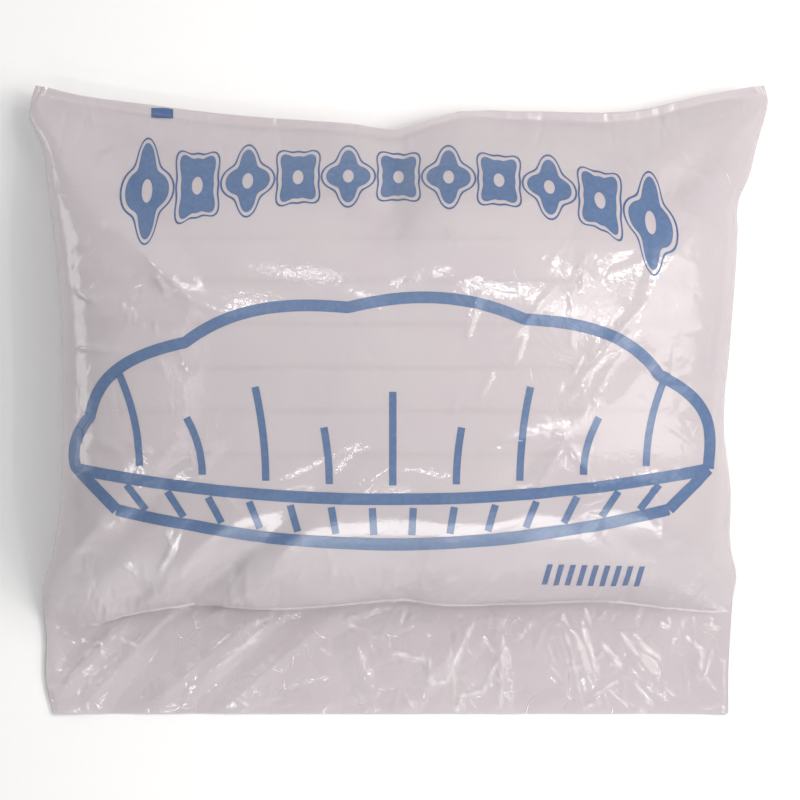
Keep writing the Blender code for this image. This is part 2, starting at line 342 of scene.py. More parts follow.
# Start column and row, end column and row, height (below 0 a furrow's depth) and half width in millimetres
SHARP = tuple(Stroke(row[:2], row[2:4], abs(row[4]), row[5], Crease(math.copysign(1.0, row[4]))) for row in (
    (146, 255, 200, 306, 0.7, 2.0), (160, 278, 172, 296, 1.0, 2.4), (80, 290, 98, 303, 0.9, 2.2),
    (183, 350, 196, 372, 0.6, 2.0), (132, 440, 154, 452, 0.5, 2.2), (150, 482, 212, 455, 0.5, 2.6),
    (349, 218, 371, 233, 0.6, 2.0), (446, 232, 460, 246, 0.9, 2.0), (476, 299, 465, 339, 0.8, 2.0),
    (510, 340, 546, 296, 0.8, 2.0), (583, 252, 578, 288, 1.2, 2.6), (570, 262, 592, 285, 0.8, 2.0),
    (644, 301, 616, 332, 1.0, 2.2), (616, 332, 571, 391, 1.3, 3.6), (616, 352, 584, 376, -0.8, 1.6),
    (497, 443, 550, 433, 0.7, 2.0), (550, 433, 566, 439, 1.0, 2.4), (561, 439, 534, 490, 0.8, 2.2),
    (563, 439, 594, 488, 0.8, 2.2), (594, 488, 612, 480, 0.9, 2.4), (170, 529, 177, 545, 0.8, 1.8),
    (177, 545, 161, 570, 0.8, 1.8), (166, 561, 182, 532, 0.6, 1.6), (125, 560, 138, 572, 0.6, 1.8),
    (109, 516, 65, 563, 0.8, 3.2), (52, 700, 120, 618, 1.5, 6.0), (60, 672, 150, 588, -2.2, 5.0),
    (86, 702, 178, 604, 1.7, 5.5), (118, 706, 216, 606, -1.9, 5.0), (150, 706, 262, 612, 1.5, 5.5),
    (196, 710, 300, 618, -1.4, 5.0), (228, 704, 322, 626, 1.0, 5.0), (96, 640, 196, 560, 2.4, 6.0),
    (150, 640, 250, 552, -2.2, 5.5), (190, 628, 292, 560, 1.7, 6.0), (330, 640, 420, 596, -0.7, 5.0),
    (265, 627, 222, 665, 0.56, 1.35), (258, 640, 232, 652, 0.45, 1.35), (99, 643, 101, 656, 0.56, 1.35),
    (120, 640, 136, 647, 0.45, 1.35), (236, 700, 250, 709, 0.45, 1.6), (345, 624, 361, 630, 0.45, 1.35),
    (318, 648, 330, 656, 0.39, 1.35), (392, 654, 424, 661, 0.56, 1.6), (430, 659, 431, 686, 0.67, 1.35),
    (431, 686, 447, 683, 0.56, 1.35), (447, 683, 462, 646, 0.67, 1.35), (462, 646, 474, 621, 0.45, 1.35),
    (481, 637, 494, 652, 0.56, 1.35), (499, 661, 483, 693, 0.62, 1.35), (483, 693, 460, 698, 0.50, 1.35),
    (461, 700, 457, 714, 0.50, 1.35), (502, 673, 501, 714, 0.45, 1.35), (406, 696, 415, 712, 0.50, 1.35),
    (565, 629, 573, 655, 0.56, 1.35), (573, 655, 580, 691, 0.45, 1.35), (582, 626, 597, 672, 0.50, 1.35),
    (603, 645, 622, 669, 0.62, 1.6), (597, 696, 618, 682, 0.50, 1.35), (584, 710, 596, 705, 0.45, 1.35),
    (639, 645, 660, 660, 0.56, 1.35), (634, 681, 651, 705, 0.56, 1.35), (661, 624, 670, 629, 0.45, 1.35),
    (687, 638, 702, 651, 0.56, 1.35), (702, 651, 703, 672, 0.50, 1.35), (706, 626, 723, 629, 0.45, 1.35),
))


@dataclass
class FilmGrid:
    """The tube of film as a grid: rows run down the bag, and each row goes once round it.

    A row starts at the left side fold, crosses the front to the right fold, and comes back along the back.
    """

    shape: BagShape
    front_steps: int
    back_steps: int
    fill_rows: int
    skirt_rows: int
    even_share: float = 0.55
    sine_share: float = 0.45
    points: Array = field(init=False)

    def __post_init__(self) -> None:
        """Works out every place of the grid on the smooth shape."""
        self.points = self.smooth_points()

    @property
    def rows(self) -> int:
        """How many rows the grid has."""
        return self.fill_rows + self.skirt_rows + 1

    def spread(self, steps: int) -> Array:
        """Shares across the bag, even in the middle and closer together towards the side folds."""
        even = np.linspace(-1.0, 1.0, steps + 1)
        return self.even_share * even + self.sine_share * np.sin(even * math.pi / 2)

    def row_shares(self) -> Pair:
        """For every row, how far it is down the fill and then down the skirt, each from 0 to 1."""
        number = np.arange(self.rows)
        return (np.minimum(number / self.fill_rows, 1.0),
                np.maximum((number - self.fill_rows) / self.skirt_rows, 0.0))

    def row_y(self, across: Array) -> Array:
        """The place along Y of every row at each share across: even from seal to crease, then to the mouth."""
        into_fill, into_skirt = (shares[:, np.newaxis] for shares in self.row_shares())
        seal, crease = self.shape.seal_y(across), self.shape.crease_y(across)
        y = seal + (crease - seal) * into_fill
        return y + (-self.shape.length / 2 - y) * into_skirt

    def around(self) -> Pair:
        """Shares across the bag of the front's places, and of the back's on the way back."""
        return self.spread(self.front_steps), self.spread(self.back_steps)[-2:0:-1]

    def smooth_points(self) -> Array:
        """Every place of the grid, rows by places round by x, y and z."""
        parts = []
        for across, level in zip(self.around(), (self.shape.front_z, self.shape.back_z)):
            y = self.row_y(across)
            parts.append(np.stack((self.shape.x_at(across, y), y, level(across, y)), axis=-1))
        return np.concatenate(parts, axis=1)

    def front(self, values: Array) -> Array:
        """The front film's part of values on the grid, both side folds included."""
        return values[:, :self.front_steps + 1]

    def normals(self) -> Array:
        """Unit normals of the grid, outwards, from the cross product of its two directions."""
        down = np.gradient(self.points, axis=0)
        padded = np.concatenate((self.points[:, -1:], self.points, self.points[:, :1]), axis=1)
        beside = (padded[:, 2:] - padded[:, :-2]) / 2
        normal = np.cross(down, beside)
        return normal / np.maximum(np.linalg.norm(normal, axis=-1, keepdims=True), 1e-12)

    def look_up(self, x: Array, y: Array, lift: float) -> Array:
        """Carries places of the flat plan onto the front film.

        A place's share across and its row follow from the smooth shape, and its position is then read
        between the four nearest places of the finished grid, raised along the film's normal.

        Args:
            x: places along X.
            y: places along Y.
            lift: how far above the film, in metres.

        Returns:
            Positions, with x, y and z last.
        """
        across = self.shape.across_at(x, y)
        columns = np.interp(across, self.spread(self.front_steps), np.arange(self.front_steps + 1))
        seal, crease = self.shape.seal_y(across), self.shape.crease_y(across)
        in_fill = np.clip((seal - y) / (seal - crease), 0.0, 1.0) * self.fill_rows
        in_skirt = np.clip((crease - y) / (crease + self.shape.length / 2), 0.0, 1.0) * self.skirt_rows
        rows = in_fill + in_skirt
        i = np.clip(rows.astype(int), 0, self.rows - 2)
        j = np.clip(columns.astype(int), 0, self.front_steps - 1)
        s, t = (rows - i)[..., np.newaxis], (columns - j)[..., np.newaxis]
        raised = self.points + self.normals() * lift
        upper = raised[i, j] * (1 - t) + raised[i, j + 1] * t
        lower = raised[i + 1, j] * (1 - t) + raised[i + 1, j + 1] * t
        return upper * (1 - s) + lower * s


def new_piece(name: str, points: Array, faces: Array, smooth: bool = True) -> bpy.types.Object:
    """Puts arrays of places and faces into a mesh object at the origin.

    Args:
        name: the piece's name.
        points: places, one row each.
        faces: four or three corners, one face a row.
        smooth: whether its faces are shaded smooth.

    Returns:
        The new object, linked to the scene.
    """
    mesh = bpy.data.meshes.new(name)
    corners = faces.shape[1]
    mesh.vertices.add(len(points))
    mesh.vertices.foreach_set("co", np.ascontiguousarray(points, np.float32).ravel())
    mesh.loops.add(faces.size)
    mesh.loops.foreach_set("vertex_index", np.ascontiguousarray(faces, np.int32).ravel())
    mesh.polygons.add(len(faces))
    mesh.polygons.foreach_set("loop_start", np.arange(0, faces.size, corners, dtype=np.int32))
    mesh.polygons.foreach_set("use_smooth", np.full(len(faces), smooth))
    mesh.update(calc_edges=True)
    mesh.validate()
    piece = bpy.data.objects.new(name, mesh)
    bpy.context.scene.collection.objects.link(piece)
    return piece


def note_values(piece: bpy.types.Object, name: str, values: Array) -> None:
    """Stores a number at each vertex as a named attribute, for the material to read."""
    piece.data.attributes.new(name, "FLOAT", "POINT").data.foreach_set("value", values.ravel())


def tube_faces(rings: int, around: int) -> Array:
    """Four corners for each face of an open tube whose places are numbered ring by ring."""
    ring, place = np.meshgrid(np.arange(rings - 1), np.arange(around), indexing="ij")
    beside = (place + 1) % around
    here, there = ring * around, (ring + 1) * around
    return np.stack((here + place, there + place, there + beside, here + beside), axis=-1).reshape(-1, 4)


def grid_faces(rows: int, columns: int) -> Array:
    """Four corners for each face of an open grid whose places are numbered row by row."""
    row, column = np.meshgrid(np.arange(rows - 1), np.arange(columns - 1), indexing="ij")
    first = row * columns + column
    return np.stack((first, first + 1, first + columns + 1, first + columns), axis=-1).reshape(-1, 4)


def add_node(tree: Tree, kind: str, inputs: dict | None = None, **settings) -> bpy.types.Node:
    """Adds a node with its settings, and gives inputs a value or a link.

    Args:
        tree: the material's or world's node tree.
        kind: the node's type, less its first word ShaderNode.
        inputs: a value or another node's output for each input, by name or number.
        settings: the node's own properties.

    Returns:
        The new node.
    """
    node = tree.nodes.new("ShaderNode" + kind)
    for name, value in settings.items():
        setattr(node, name, value)
    for key, value in (inputs or {}).items():
        if isinstance(value, Socket):
            tree.links.new(value, node.inputs[key])
        else:
            node.inputs[key].default_value = value
    return node


def new_material(name: str) -> tuple[bpy.types.Material, Tree, Socket]:
    """A material with an empty tree: the material, its tree and the socket of object coordinates.

    Those are in metres, so a pattern's scale is one over the size of its cells.
    """
    material = bpy.data.materials.new(name)
    material.use_nodes = True
    material.node_tree.nodes.clear()
    place = add_node(material.node_tree, "TexCoord").outputs["Object"]
    return material, material.node_tree, place


def finish_material(material: bpy.types.Material, inputs: dict) -> bpy.types.Material:
    """Ends a material with a Principled shader that has these inputs, and returns it."""
    shader = add_node(material.node_tree, "BsdfPrincipled", inputs)
    add_node(material.node_tree, "OutputMaterial", {"Surface": shader.outputs["BSDF"]})
    return material


def clouded(tree: Tree, place: Socket, size: float, colours: tuple[str, str], detail: float = 2.0,
            fine: float = 0.5, spread: tuple[float, float] = (0.0, 1.0)) -> Socket:
    """A colour that wanders between two as a noise does.

    Args:
        tree: the material's nodes.
        place: the socket of coordinates.
        size: how wide the noise's waves are, in metres.
        colours: the two colours in sRGB hex digits.
        detail: how many times the noise adds finer waves.
        fine: how strong each finer wave is, as a share of the last.
        spread: the noise's values that give the first and the second colour in full.

    Returns:
        The colour's socket.
    """
    noise = add_node(tree, "TexNoise", {"Vector": place, "Scale": 1 / size, "Detail": detail,
                                        "Roughness": fine})
    share = add_node(tree, "MapRange", {"Value": noise.outputs["Fac"], "From Min": spread[0],
                                        "From Max": spread[1]})
    first, second = map(linear, colours)
    return add_node(tree, "Mix", {0: share.outputs[0], 6: first, 7: second}, data_type="RGBA").outputs[2]


def sum_of_products(tree: Tree, *terms: tuple) -> Socket:
    """Adds up terms of two factors each, sockets or numbers."""
    total = 0.0
    for first, second in terms:
        total = add_node(tree, "Math", {0: first, 1: second, 2: total}, operation="MULTIPLY_ADD").outputs[0]
    return total


@dataclass(frozen=True)
class PolytheneFilm:
    """Blown low-density polythene, milky with filler, about 40 microns thick.

    To the eye: a pale, faintly pink and grey haze that what lies close behind shows through, under a
    crisp gloss that breaks on a fine crumple. Where it is creased sharply it is painted near-white: partly
    the stress whitening of the film, partly a painted highlight for the glints that those creases catch.
    """

    colours: tuple[str, str] = ("D7CFD1", "CAC1C6")
    # Near-white painted along the narrow creases: partly stress whitening, partly a painted highlight.
    stress_white_and_glint_colour: str = "FBF9F9"
    clearness: float = 0.15
    roughness: float = 0.115
    ior: float = 1.51
    cloud: float = 45 * MM
    facet: float = 17 * MM
    facet_slope: float = 0.05
    crease_half_width: float = 0.42 * MM
    crease_height: float = 0.18 * MM
    crease_share: tuple[float, float] = (0.57, 0.62)
    crinkle: float = 2.4 * MM
    crinkle_slope: float = 0.045
    waver: float = 1.1
    waver_size: float = 25.5 * MM

    def crumpled(self, tree: Tree, place: Socket) -> Socket:
        """Bump of crumpled film: roofs of even slope, sharp creases along some of their edges, and crinkles.

        The height is (roofs + creases) times the crumple attribute, + crinkles, in metres. The roofs rise with
        the distance to the nearest edge of a Voronoi cell, whose edges waver. A crease is one less that
        distance over its half width, where a noise lets it be.
        """
        waver, let, crinkle = (
            add_node(tree, "TexNoise", {"Vector": place, "Scale": 1 / size, "Detail": detail}).outputs
            for size, detail in ((self.waver_size, 1.0), (self.facet, 1.0), (self.crinkle, 2.0)))
        scaled = add_node(tree, "VectorMath", {0: place, "Scale": 1 / self.facet}, operation="SCALE")
        waved = add_node(tree, "VectorMath", {0: waver["Color"], 1: (self.waver,) * 3, 2: scaled.outputs[0]},
                         operation="MULTIPLY_ADD")
        from_edge = add_node(tree, "TexVoronoi", {"Vector": waved.outputs[0], "Scale": 1.0},
                             feature="DISTANCE_TO_EDGE").outputs["Distance"]
        near = add_node(tree, "MapRange", {"Value": from_edge, "To Min": 1.0, "To Max": 0.0,
                                           "From Max": self.crease_half_width / self.facet})
        share = add_node(tree, "MapRange", {"Value": let["Fac"], "From Min": self.crease_share[0],
                                            "From Max": self.crease_share[1]})
        crumple = add_node(tree, "Attribute", attribute_name="crumple").outputs["Fac"]
        creases = sum_of_products(tree, (near.outputs[0], share.outputs[0]))
        facets = sum_of_products(tree, (from_edge, self.facet_slope * self.facet),
                                 (creases, self.crease_height))
        height = sum_of_products(tree, (crinkle["Fac"], self.crinkle_slope * self.crinkle),
                                 (facets, crumple))
        return add_node(tree, "Bump", {"Height": height, "Distance": 1.0, "Strength": 1.0}).outputs["Normal"]

    def build(self) -> bpy.types.Material:
        """The film's material."""
        material, tree, place = new_material("milky low-density polythene film")
        milky = clouded(tree, place, self.cloud, self.colours, 4.0)
        # Painted highlight: the creases' mask mixes in a near-white, partly stress whitening and partly
        # standing in for their glints.
        stress_white_and_glint = add_node(tree, "Attribute", attribute_name="stress_white_and_glint").outputs["Fac"]
        colour = add_node(tree, "Mix", {0: stress_white_and_glint, 6: milky, 7: linear(self.stress_white_and_glint_colour)}, data_type="RGBA")
        return finish_material(material, {
            "Base Color": colour.outputs[2], "Roughness": self.roughness, "IOR": self.ior,
            "Alpha": 1.0 - self.clearness, "Normal": self.crumpled(tree, place)})


@dataclass(frozen=True)
class FlexoInk:
    """Flexographic ink on polythene: a thin flat coat, slightly uneven, glossed by the film's own crumple."""

    name: str
    colours: tuple[str, str]
    roughness: float = 0.30
    ior: float = 1.5
    mottle: float = 2.5 * MM
    spread: tuple[float, float] = (0.42, 0.72)

    def build(self, film: PolytheneFilm) -> bpy.types.Material:
        """The ink's material, with the bump of the film that carries it."""
        material, tree, place = new_material(self.name)
        return finish_material(material, {
            "Base Color": clouded(tree, place, self.mottle, self.colours, 5.0, 0.6, self.spread),
            "Roughness": self.roughness, "IOR": self.ior, "Normal": film.crumpled(tree, place)})


@dataclass(frozen=True)
class CapNonwoven:
    """Spunbonded polypropylene, 12 grams a square metre: matt white, dotted where its fibres are bonded."""

    colours: tuple[str, str] = ("F4F3F4", "DCDCE0")
    roughness: float = 0.85
    sheen: float = 0.25
    bond_pitch: float = 1.6 * MM
    bond_height: float = 0.06 * MM
    bond_scatter: float = 0.15
    fibre: float = 0.7 * MM

    def build(self) -> bpy.types.Material:
        """The nonwoven's material: bonding dots pressed into a fibrous ground."""
        material, tree, place = new_material("spunbonded polypropylene nonwoven")
        dots = add_node(tree, "TexVoronoi", {"Vector": place, "Randomness": self.bond_scatter,
                                             "Scale": 1 / self.bond_pitch})
        bump = add_node(tree, "Bump", {"Height": dots.outputs["Distance"], "Distance": self.bond_height,
                                       "Strength": 1.0})
        return finish_material(material, {
            "Base Color": clouded(tree, place, self.fibre, self.colours, 4.0), "Roughness": self.roughness,
            "Sheen Weight": self.sheen, "Normal": bump.outputs["Normal"]})


@dataclass(frozen=True)
class StudioPaper:
    """A pale paper sweep, matt and faintly grained."""

    colours: tuple[str, str] = ("FBFBFA", "F8F8F7")
    roughness: float = 0.9
    grain: float = 3 * MM

    def build(self) -> bpy.types.Material:
        """The floor's material."""
        material, tree, place = new_material("matt studio paper")
        return finish_material(material, {"Base Color": clouded(tree, place, self.grain, self.colours),
                                          "Roughness": self.roughness})


@dataclass(frozen=True)
class Softbox:
    """A rectangular studio lamp that faces the bag: bearing from +X, height above the floor in degrees."""

    name: str
    bearing: float
    elevation: float
    distance: float
    width: float
    depth: float
    watts: float
    tint: str = "FFFFFF"

    def build(self) -> bpy.types.Object:
        """The lamp, turned towards the middle of the bag."""
        data = bpy.data.lights.new(self.name, "AREA")
        data.shape = "RECTANGLE"
        data.size, data.size_y = self.width, self.depth
        data.energy = self.watts
        data.color = linear(self.tint)[:3]
        lamp = bpy.data.objects.new(self.name, data)
        bearing, elevation = math.radians(self.bearing), math.radians(self.elevation)
        lamp.location = (
            self.distance * math.cos(elevation) * math.cos(bearing),
            self.distance * math.cos(elevation) * math.sin(bearing),
            self.distance * math.sin(elevation),
        )
        lamp.rotation_euler = (0.0, math.pi / 2 - elevation, bearing)
        bpy.context.scene.collection.objects.link(lamp)
        return lamp


# Name, bearing and elevation in degrees, distance, width and depth in metres, watts, tint where there is one
LAMPS = (
    ("key softbox", 18, 50, 0.75, 0.5, 0.5, 2.85, "FFF9F5"),
    ("fill from the mouth", 276, 10, 0.6, 0.16, 0.4, 1.6),
    ("fill from the seal", 104, 24, 1.2, 0.8, 0.8, 1.0),
    ("fill from the left", 168, 11, 1.3, 0.4, 0.8, 3.8),
    ("tube on the right", 0, 68, 1.3, 0.022, 0.9, 1.3),
    ("tube on the left", 178, 65, 1.3, 0.022, 0.9, 0.6),
    ("lamp beyond the seal", 72, 62, 1.3, 0.05, 0.20, 0.9),
    ("lamp far left", 122, 64, 1.3, 0.05, 0.12, 0.7),
    ("lamp far right", 48, 66, 1.2, 0.05, 0.05, 0.6),
)
# The same without a name: small lamps all round, whose reflections break into glints on the creases
SMALL_LAMPS = (
    (14, 50, 1.1, 0.10, 0.22, 1.2), (54, 47, 1.1, 0.10, 0.22, 1.1), (98, 50, 1.1, 0.06, 0.08, 0.3),
    (143, 48, 1.1, 0.08, 0.14, 0.55), (196, 50, 1.1, 0.07, 0.12, 0.42), (232, 47, 1.1, 0.07, 0.12, 0.42),
    (272, 46, 1.1, 0.05, 0.06, 0.2), (330, 46, 1.1, 0.08, 0.14, 0.8), (265, 68, 1.2, 0.05, 0.08, 0.4),
)


@dataclass
class Studio:
    """The floor, the lamps and the camera that looks straight down on the bag."""

    camera_height: float = 3.0
    focus_height: float = 0.018
    frame_width: float = 800 * PHOTO.metres_per_pixel
    view_end: float = 20.0
    floor_size: float = 8.0
    air: str = "F4F6FA"
    air_strength: float = 0.12

    def build(self) -> None:
        """Makes the floor, world, lamps and camera."""
        corners = np.array(((-1, -1, 0), (1, -1, 0), (1, 1, 0), (-1, 1, 0))) * self.floor_size / 2
        floor = new_piece("floor", corners, np.array(((0, 1, 2, 3),)), smooth=False)
        floor.data.materials.append(StudioPaper().build())
        world = bpy.data.worlds.new("studio air")
        world.use_nodes = True
        background = world.node_tree.nodes["Background"].inputs
        background["Color"].default_value = linear(self.air)
        background["Strength"].default_value = self.air_strength
        bpy.context.scene.world = world
        bpy.context.scene.view_settings.view_transform = "Standard"
        small = ((f"small lamp {number}", *row) for number, row in enumerate(SMALL_LAMPS, 1))
        for row in (*LAMPS, *small):
            Softbox(*row).build()
        self.camera()

    def camera(self) -> None:
        """A long lens straight above, framed so that the photograph's pixels fall on the same places."""
        data = bpy.data.cameras.new("camera")
        data.lens = data.sensor_width * (self.camera_height - self.focus_height) / self.frame_width
        data.clip_end = self.view_end
        camera = bpy.data.objects.new("camera", data)
        x, y = PHOTO.plan(400, 400)
        camera.location = (float(x), float(y), self.camera_height)
        bpy.context.scene.collection.objects.link(camera)
        bpy.context.scene.camera = camera


@dataclass(frozen=True)
class CrinkleField:
    """A region of the front film that is full of small creases of one kind.

    left, top, right and bottom are its pixels in the photograph. turn and scatter give the creases' direction
    in degrees anticlockwise from +X. Lengths, heights and half widths lie between two values in millimetres.
    furrows is the share of them that sink.
    """

    count: int
    left: float
    top: float
    right: float
    bottom: float
    turn: float
    scatter: float
    long: tuple[float, float]
    high: tuple[float, float]
    wide: tuple[float, float]
    furrows: float = 0.35

    def draw(self, random: np.random.Generator) -> list[Stroke]:
        """Draws the field's creases."""
        x = random.uniform(self.left, self.right, self.count)
        y = random.uniform(self.top, self.bottom, self.count)
        turn = np.radians(self.turn + self.scatter * random.uniform(-1, 1, self.count))
        half = random.uniform(*self.long, self.count) * MM / PHOTO.metres_per_pixel / 2
        high = random.uniform(*self.high, self.count)
        wide = random.uniform(*self.wide, self.count)
        kinds = np.where(random.uniform(size=self.count) < self.furrows, Crease.FURROW, Crease.RIDGE)
        east, down = half * np.cos(turn), -half * np.sin(turn)
        return [Stroke((a - e, b - d), (a + e, b + d), h, w, kind)
                for a, b, e, d, h, w, kind in zip(x, y, east, down, high, wide, kinds)]


# Count, left, top, right, bottom, turn, scatter, then the ranges of length, height and half width
CRINKLES = tuple(CrinkleField(*row) for row in (
    (46, 50, 96, 750, 132, 90, 22, (8, 30), (0.15, 0.45), (1.2, 2.6)),
    (30, 56, 120, 130, 560, 20, 40, (8, 26), (0.15, 0.50), (1.4, 3.2)),
    (36, 650, 110, 735, 560, 160, 40, (8, 26), (0.15, 0.50), (1.4, 3.2)),
    (60, 120, 150, 680, 560, 60, 70, (6, 24), (0.10, 0.32), (1.4, 3.4)),
    (24, 480, 150, 700, 400, 55, 40, (6, 20), (0.20, 0.55), (1.4, 3.0)),
    (9, 566, 252, 604, 286, 62, 8, (4, 9), (0.35, 0.60), (0.9, 1.4)),
    (8, 558, 352, 600, 394, 52, 8, (4, 9), (0.35, 0.60), (0.9, 1.4)),
    (4, 446, 230, 462, 248, 70, 12, (3, 6), (0.30, 0.50), (0.9, 1.4)),
    (8, 126, 292, 172, 330, 50, 40, (3, 8), (0.30, 0.55), (0.9, 1.6)),
    (5, 78, 286, 104, 306, 30, 30, (3, 6), (0.30, 0.50), (0.9, 1.4)),
    (44, 60, 560, 720, 606, 75, 35, (5, 18), (0.15, 0.40), (1.2, 2.4)),
    (90, 60, 622, 725, 712, 60, 50, (3, 12), (0.12, 0.34), (1.0, 1.6)),
    (50, 330, 622, 725, 712, 105, 35, (4, 16), (0.22, 0.50), (1.0, 1.4)),
    (120, 50, 604, 730, 624, 70, 50, (2, 9), (0.22, 0.55), (1.0, 1.6)),
    (40, 60, 575, 725, 612, 50, 40, (6, 20), (0.20, 0.50), (1.2, 2.4)),
))


@dataclass
class FilmSimulation:
    """A cloth simulation of the tube, which finds the wrinkles that flat film takes round a full bag.

    The film rests as the flat tube that it was made as, and starts as the smooth filled shape. Its lengths
    don't fit that shape, so it buckles. Only the buckles are kept: what is left of each place's movement
    once the movement of its neighbourhood is taken away, capped.
    """

    shape: BagShape
    # Steps across the front and the back, then rows down the fill and the skirt
    steps: tuple[int, ...] = (190, 30, 124, 32)
    flat_fill: float = 0.283
    frames: int = 16
    pressure: float = 1.2
    stiffness: float = 25.0
    bending: float = 0.02
    hold: float = 0.02
    mass: float = 0.02
    air_damping: float = 4.0
    quality: int = 6
    neighbourhood: int = 9
    cap: float = 3.5 * MM

    def flat_points(self, grid: FilmGrid) -> Array:
        """The same grid on the flat tube, its two layers a hair apart."""
        into_fill, into_skirt = grid.row_shares()
        down = self.flat_fill * into_fill
        down += self.shape.skirt * into_skirt
        across = np.concatenate(grid.around()) * self.shape.lay_flat / 2
        level = self.shape.half_gap * np.where(np.arange(len(across)) > grid.front_steps, -1, 1)
        flat = np.empty(grid.points.shape)
        flat[..., 0], flat[..., 1], flat[..., 2] = across, -down[:, np.newaxis], level
        return flat

    def settle(self, grid: FilmGrid) -> Array:
        """Runs the cloth and returns where every place ends up."""
        film = new_piece("film_at_rest", grid.points.reshape(-1, 3), tube_faces(*grid.points.shape[:2]))
        film.shape_key_add(name="filled")
        flat = film.shape_key_add(name="flat")
        flat.data.foreach_set("co", self.flat_points(grid).ravel())
        film.vertex_groups.new(name="held").add(range(len(film.data.vertices)), self.hold, "REPLACE")
        cloth = film.modifiers.new("cloth", "CLOTH")
        for name, value in {
            "rest_shape_key": flat, "quality": self.quality, "mass": self.mass, "air_damping": self.air_damping,
            "tension_stiffness": self.stiffness, "compression_stiffness": self.stiffness,
            "shear_stiffness": self.stiffness / 2, "bending_stiffness": self.bending,
            "use_pressure": True, "uniform_pressure_force": self.pressure, "vertex_group_mass": "held",
        }.items():
            setattr(cloth.settings, name, value)
        cloth.settings.effector_weights.gravity = 0.0
        cloth.point_cache.frame_start, cloth.point_cache.frame_end = 1, self.frames
        for frame_number in range(1, self.frames + 1):
            bpy.context.scene.frame_set(frame_number)
        places = np.empty(grid.points.size)
        settled = film.evaluated_get(bpy.context.evaluated_depsgraph_get()).data
        settled.vertices.foreach_get("co", places)
        bpy.data.objects.remove(film)
        bpy.context.scene.frame_set(1)
        return places.reshape(grid.points.shape)

    def averaged(self, values: Array) -> Array:
        """Means over each place's neighbourhood, round the tube and down it, three times over."""
        reach = self.neighbourhood
        for _ in range(3):
            for axis, mode in ((0, "edge"), (1, "wrap")):
                pad = [(0, 0)] * 3
                pad[axis] = (reach + 1, reach)
                total = np.cumsum(np.pad(values, pad, mode=mode), axis=axis)
                count = values.shape[axis]
                ahead = np.take(total, np.arange(count) + 2 * reach + 1, axis=axis)
                values = (ahead - np.take(total, np.arange(count), axis=axis)) / (2 * reach + 1)
        return values

    def buckles(self, fine: FilmGrid) -> Array:
        """How far the simulation moves each place of a finer grid.

        Args:
            fine: the grid to work them out for.

        Returns:
            Movements, rows by places round by x, y and z.
        """
        grid = FilmGrid(self.shape, *self.steps)
        moved = self.settle(grid) - grid.points
        moved -= self.averaged(moved)
        size = np.linalg.norm(moved, axis=-1, keepdims=True)
        LOG.info("buckles: up to %.1f mm, mean %.2f mm", size.max() / MM, size.mean() / MM)
        moved *= self.cap * np.tanh(size / self.cap) / np.maximum(size, 1e-9)
        rows = np.interp(np.arange(fine.rows), (0, fine.fill_rows, fine.rows - 1),
                         (0, grid.fill_rows, grid.rows - 1))
        ends = [(0, each.front_steps, each.points.shape[1]) for each in (fine, grid)]
        places = np.interp(np.arange(fine.points.shape[1]), *ends)
        return between(between(moved, rows, 0), places, 1)


def between(values: Array, at: Array, axis: int) -> Array:
    """Reads values between their places along an axis, on cubics through four neighbours.

    Each cubic is a + b t + c t squared + d t cubed, with the slopes at its ends from the places beside them.
    The first axis ends at its edges, and the second goes round.
    """
    values = np.moveaxis(values, axis, 0)
    first = np.floor(at).astype(int)
    t = (at - first).reshape(-1, *[1] * (values.ndim - 1))
    mode = "clip" if axis == 0 else "wrap"
    p, q, r, s = (np.take(values, first + k, axis=0, mode=mode) for k in (-1, 0, 1, 2))
    cubic = q + t * (r - p) / 2 + t**2 * (p - 2.5 * q + 2 * r - s / 2) + t**3 * (1.5 * (q - r) + (s - p) / 2)
    return np.moveaxis(cubic, 0, axis)


